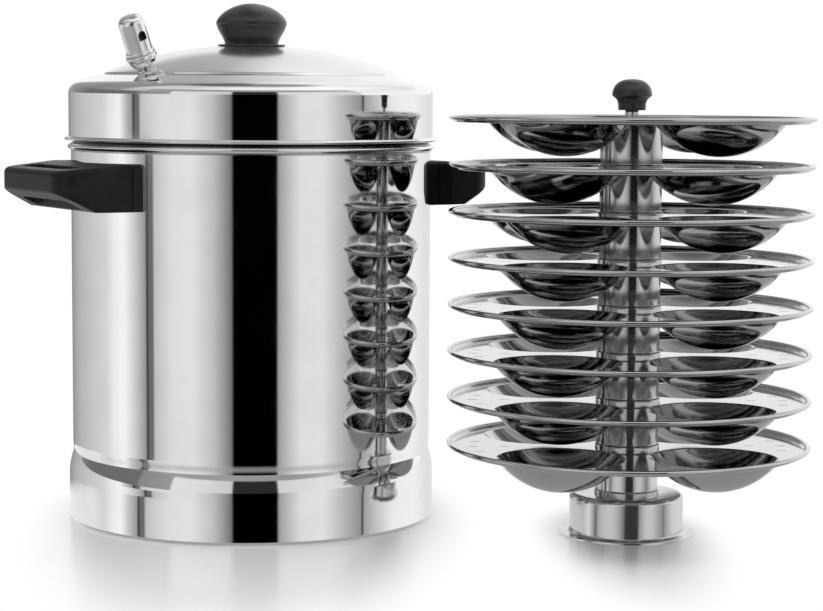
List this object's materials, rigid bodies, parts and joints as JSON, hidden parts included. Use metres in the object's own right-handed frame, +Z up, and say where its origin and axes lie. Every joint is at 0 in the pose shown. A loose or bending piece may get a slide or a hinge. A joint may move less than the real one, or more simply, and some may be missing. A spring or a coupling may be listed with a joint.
{
  "type": "idli steamer",
  "caption": "Tall steel steaming pot with domed lid, side handles and whistle, beside a lift-out rack of stacked cupped plates.",
  "frame": {"origin": "centre of the pot's flat base, on the table", "axes": "+Z is up, -Y is the front of the set, and +X runs from the pot towards the rack that stands beside it"},
  "size_m": [0.4881, 0.2932, 0.3196],
  "materials": {
    "polished_steel": "polished",
    "black_moulding": "satin",
    "brass_insert": "satin",
    "gasket_rubber": "matte",
    "heat_shield": "matte"
  },
  "bodies": {
    "pot": {"pot_shell": "polished_steel", "handle_left": "black_moulding", "handle_right": "black_moulding", "handle_bracket_left": "polished_steel", "handle_bracket_right": "polished_steel", "handle_screws_left": "polished_steel", "handle_screws_right": "polished_steel"},
    "lid": {"lid_shell": "polished_steel", "lid_knob": "black_moulding", "lid_knob_insert": "brass_insert", "lid_knob_heat_shield": "heat_shield", "lid_knob_washer": "polished_steel", "lid_knob_screw": "polished_steel", "steam_vent_tube": "polished_steel", "steam_vent_gasket": "gasket_rubber", "steam_vent_nut": "polished_steel"},
    "whistle": {"whistle_cage": "polished_steel", "whistle_cap": "polished_steel", "whistle_sound_disc": "polished_steel"},
    "rack_base": {"rack_foot": "polished_steel", "rack_rod": "polished_steel", "rack_rod_washer": "polished_steel", "rack_rod_nut": "polished_steel"},
    "spacer_8": {"spacer_sleeve_8": "polished_steel"},
    "plate_8": {"idli_plate_8": "polished_steel"},
    "spacer_7": {"spacer_sleeve_7": "polished_steel"},
    "plate_7": {"idli_plate_7": "polished_steel"},
    "spacer_6": {"spacer_sleeve_6": "polished_steel"},
    "plate_6": {"idli_plate_6": "polished_steel"},
    "spacer_5": {"spacer_sleeve_5": "polished_steel"},
    "plate_5": {"idli_plate_5": "polished_steel"},
    "spacer_4": {"spacer_sleeve_4": "polished_steel"},
    "plate_4": {"idli_plate_4": "polished_steel"},
    "spacer_3": {"spacer_sleeve_3": "polished_steel"},
    "plate_3": {"idli_plate_3": "polished_steel"},
    "spacer_2": {"spacer_sleeve_2": "polished_steel"},
    "plate_2": {"idli_plate_2": "polished_steel"},
    "spacer_1": {"spacer_sleeve_1": "polished_steel"},
    "plate_1": {"idli_plate_1": "polished_steel"},
    "knob_insert": {"rack_knob_insert": "brass_insert"},
    "rack_top_knob": {"rack_knob": "black_moulding"}
  },
  "joints": [
    {"name": "lid_lift", "type": "slide", "parent": "pot", "child": "lid", "axis": [0, 0, 1], "range_m": [0, 0.12]},
    {"name": "whistle_pull", "type": "slide", "parent": "lid", "child": "whistle", "axis": [-0.2571, -0.2589, 0.9311], "range_m": [0, 0.012]},
    {"name": "rack_lift", "type": "slide", "parent": "pot", "child": "rack_base", "axis": [0, 0, 1], "range_m": [0, 0.24]},
    {"name": "tier_8_lift", "type": "slide", "parent": "rack_base", "child": "spacer_8", "axis": [0, 0, 1], "range_m": [0, 0.03]},
    {"name": "plate_8_turn", "type": "hinge", "parent": "spacer_8", "child": "plate_8", "pos_m": [0.2303, -0.068, 0.0526], "axis": [0, 0, 1], "continuous": true},
    {"name": "tier_7_lift", "type": "slide", "parent": "plate_8", "child": "spacer_7", "axis": [0, 0, 1], "range_m": [0, 0.03]},
    {"name": "plate_7_turn", "type": "hinge", "parent": "spacer_7", "child": "plate_7", "pos_m": [0.2303, -0.068, 0.0806], "axis": [0, 0, 1], "continuous": true},
    {"name": "tier_6_lift", "type": "slide", "parent": "plate_7", "child": "spacer_6", "axis": [0, 0, 1], "range_m": [0, 0.03]},
    {"name": "plate_6_turn", "type": "hinge", "parent": "spacer_6", "child": "plate_6", "pos_m": [0.2303, -0.068, 0.1086], "axis": [0, 0, 1], "continuous": true},
    {"name": "tier_5_lift", "type": "slide", "parent": "plate_6", "child": "spacer_5", "axis": [0, 0, 1], "range_m": [0, 0.03]},
    {"name": "plate_5_turn", "type": "hinge", "parent": "spacer_5", "child": "plate_5", "pos_m": [0.2303, -0.068, 0.1366], "axis": [0, 0, 1], "continuous": true},
    {"name": "tier_4_lift", "type": "slide", "parent": "plate_5", "child": "spacer_4", "axis": [0, 0, 1], "range_m": [0, 0.03]},
    {"name": "plate_4_turn", "type": "hinge", "parent": "spacer_4", "child": "plate_4", "pos_m": [0.2303, -0.068, 0.1646], "axis": [0, 0, 1], "continuous": true},
    {"name": "tier_3_lift", "type": "slide", "parent": "plate_4", "child": "spacer_3", "axis": [0, 0, 1], "range_m": [0, 0.03]},
    {"name": "plate_3_turn", "type": "hinge", "parent": "spacer_3", "child": "plate_3", "pos_m": [0.2303, -0.068, 0.1926], "axis": [0, 0, 1], "continuous": true},
    {"name": "tier_2_lift", "type": "slide", "parent": "plate_3", "child": "spacer_2", "axis": [0, 0, 1], "range_m": [0, 0.03]},
    {"name": "plate_2_turn", "type": "hinge", "parent": "spacer_2", "child": "plate_2", "pos_m": [0.2303, -0.068, 0.2206], "axis": [0, 0, 1], "continuous": true},
    {"name": "tier_1_lift", "type": "slide", "parent": "plate_2", "child": "spacer_1", "axis": [0, 0, 1], "range_m": [0, 0.03]},
    {"name": "plate_1_turn", "type": "hinge", "parent": "spacer_1", "child": "plate_1", "pos_m": [0.2303, -0.068, 0.2486], "axis": [0, 0, 1], "continuous": true},
    {"name": "rack_knob_rise", "type": "slide", "parent": "plate_1", "child": "knob_insert", "axis": [0, 0, 1], "range_m": [0, 0.012]},
    {"name": "rack_knob_turn", "type": "hinge", "parent": "knob_insert", "child": "rack_top_knob", "pos_m": [0.2303, -0.068, 0.263], "axis": [0, 0, 1], "range_deg": [0, 4320]}
  ],
  "couplings": [
    {"joint": "rack_knob_rise", "follows": "rack_knob_turn", "m_per_rad": 0.00015915}
  ]
}
